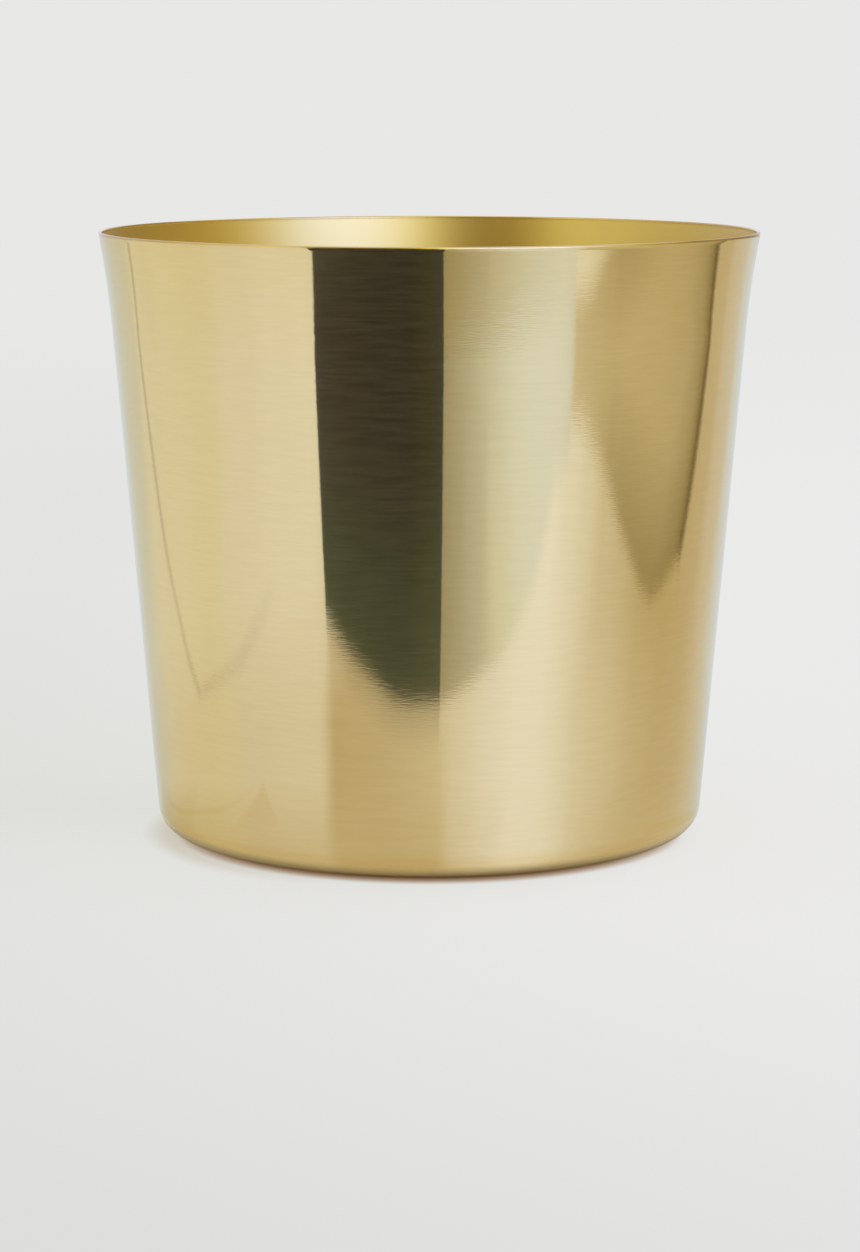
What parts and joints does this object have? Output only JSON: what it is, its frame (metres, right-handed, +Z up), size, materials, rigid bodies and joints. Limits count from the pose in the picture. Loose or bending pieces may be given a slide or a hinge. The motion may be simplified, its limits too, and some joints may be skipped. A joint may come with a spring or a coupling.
{
  "type": "metal plant pot",
  "caption": "Round tapered metal plant pot with a gently flared, round-edged rim, rounded base corner and closed base on small anti-scratch pads; holds a nursery pot or plant liner.",
  "frame": {"origin": "on the surface that the pot stands on, at the centre of the pot's axis (bottom centre of the box)", "axes": "+Z up along the pot's axis of revolution; the pads lie on the diagonals between X and Y"},
  "size_m": [0.205, 0.205, 0.1897],
  "materials": {
    "brushed_brass": "fine horizontal brushing, clear-lacquered satin gloss",
    "pad_rubber": "matt black, slightly porous",
    "adhesive_film": "thin translucent double-sided film"
  },
  "bodies": {
    "root": {"pot_body": "brushed_brass", "foot_pad_1": "pad_rubber", "foot_pad_2": "pad_rubber", "foot_pad_3": "pad_rubber", "foot_pad_4": "pad_rubber", "pad_adhesive_1": "adhesive_film", "pad_adhesive_2": "adhesive_film", "pad_adhesive_3": "adhesive_film", "pad_adhesive_4": "adhesive_film"}
  },
  "joints": []
}
